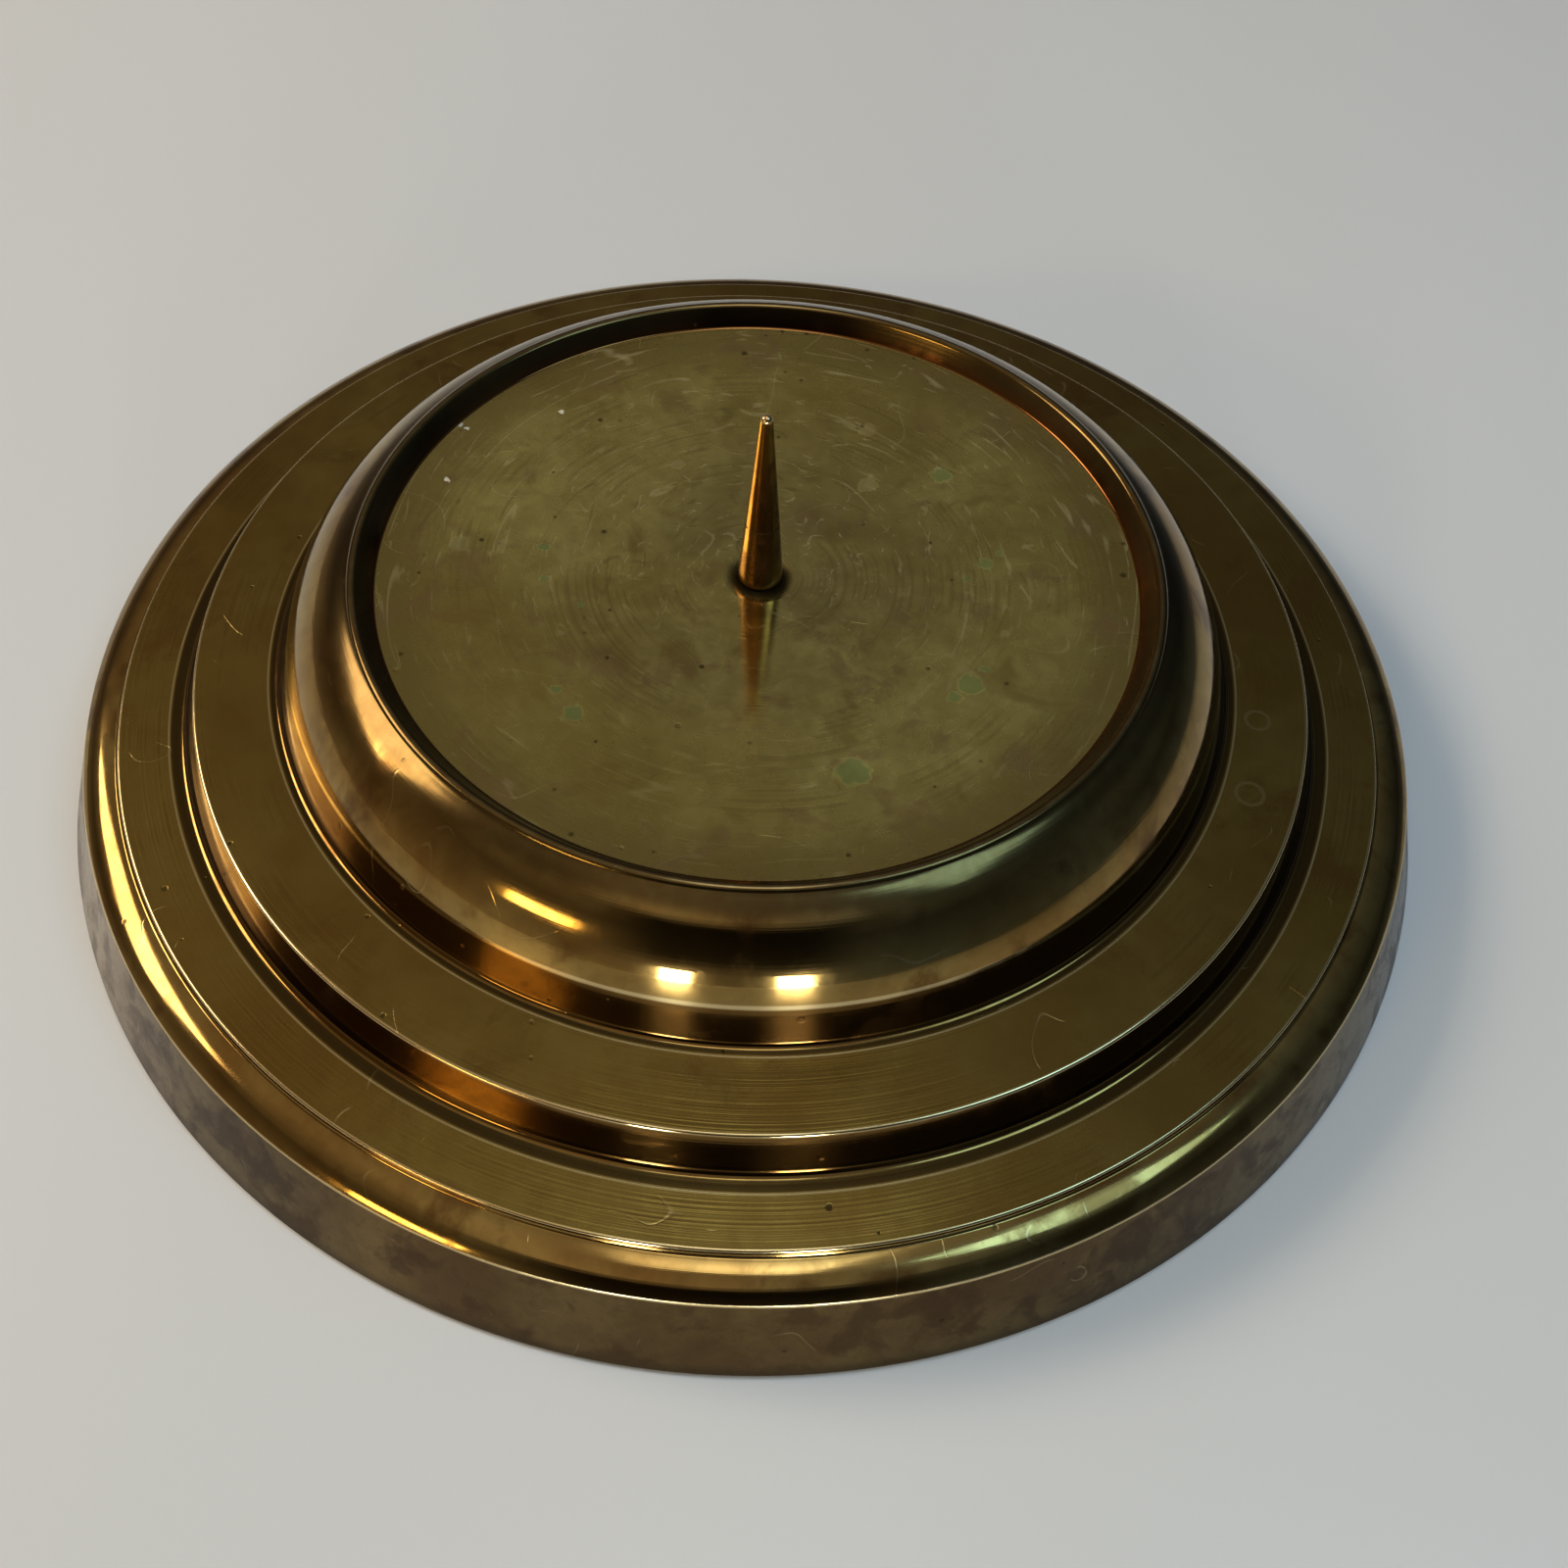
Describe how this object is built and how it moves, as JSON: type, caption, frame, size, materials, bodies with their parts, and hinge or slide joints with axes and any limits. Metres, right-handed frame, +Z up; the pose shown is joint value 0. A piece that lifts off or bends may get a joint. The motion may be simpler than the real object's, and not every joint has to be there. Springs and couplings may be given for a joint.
{
  "type": "pillar candle holder",
  "caption": "Round stepped brass plate for a pillar candle, with flat ring steps, a rounded moulding, a shallow lipped dish and a central spike screwed in from below.",
  "frame": {"origin": "on the table, under the centre of the plate", "axes": "+Z up along the spike and the axis the plate is turned about; the plate is round, so X and Y are any two directions across it"},
  "size_m": [0.18, 0.18, 0.0546],
  "materials": {
    "base_brass": "polished mouldings gone brown, satin turned flats, olive tarnish",
    "spike_brass": "polished, coppery brown tarnish",
    "fixing_brass": "plain machined brass, dulled",
    "felt": "dark green pressed wool felt"
  },
  "bodies": {
    "root": {"stepped_base": "base_brass", "candle_spike": "spike_brass", "spike_washer": "fixing_brass", "spike_nut": "fixing_brass", "felt_ring": "felt"}
  },
  "joints": []
}
